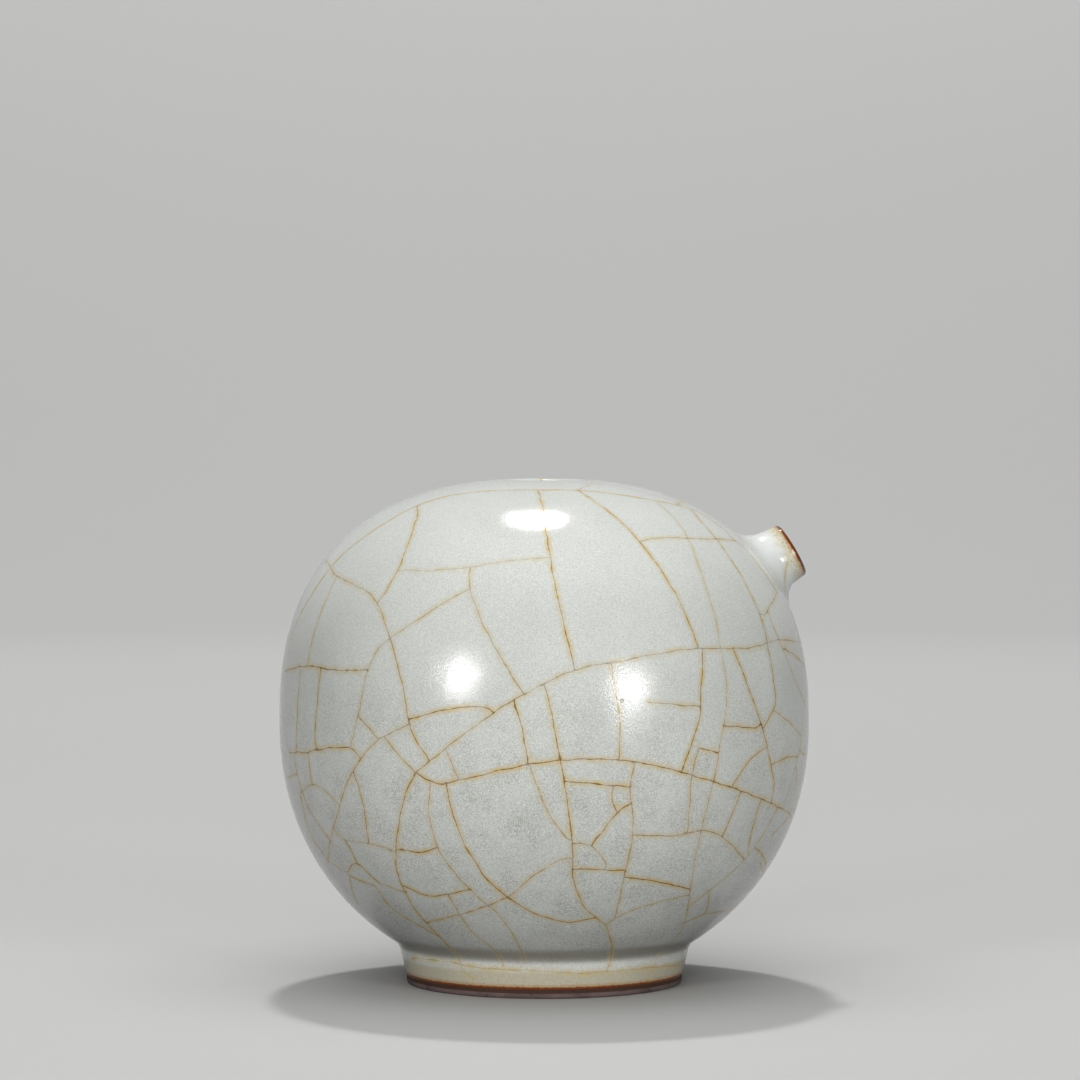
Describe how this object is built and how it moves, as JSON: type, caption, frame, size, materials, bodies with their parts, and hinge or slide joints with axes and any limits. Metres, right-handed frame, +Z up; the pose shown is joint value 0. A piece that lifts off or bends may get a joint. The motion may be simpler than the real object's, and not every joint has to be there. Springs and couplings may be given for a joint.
{
  "type": "water dropper",
  "caption": "Round crackle-glazed stoneware water dropper with a filling mouth on top, a short pouring spout on the shoulder and a turned foot ring, for wetting an ink stone.",
  "frame": {"origin": "centre of the foot ring's resting face", "axes": "+Z up through the filling mouth, +X towards the side that carries the spout"},
  "size_m": [0.1, 0.1, 0.0951],
  "materials": {
    "clay": "bare fired stoneware, purple-brown, matt",
    "crackle_glaze": "glossy pale grey-blue glaze with a brown-stained crackle",
    "lining_glaze": "thin glossy pale grey glaze"
  },
  "bodies": {
    "root": {"lower_bowl": "clay", "upper_dome": "clay", "foot_ring": "clay", "spout_tube": "clay", "outer_glaze": "crackle_glaze", "inner_glaze": "lining_glaze", "base_glaze": "lining_glaze"}
  },
  "joints": []
}
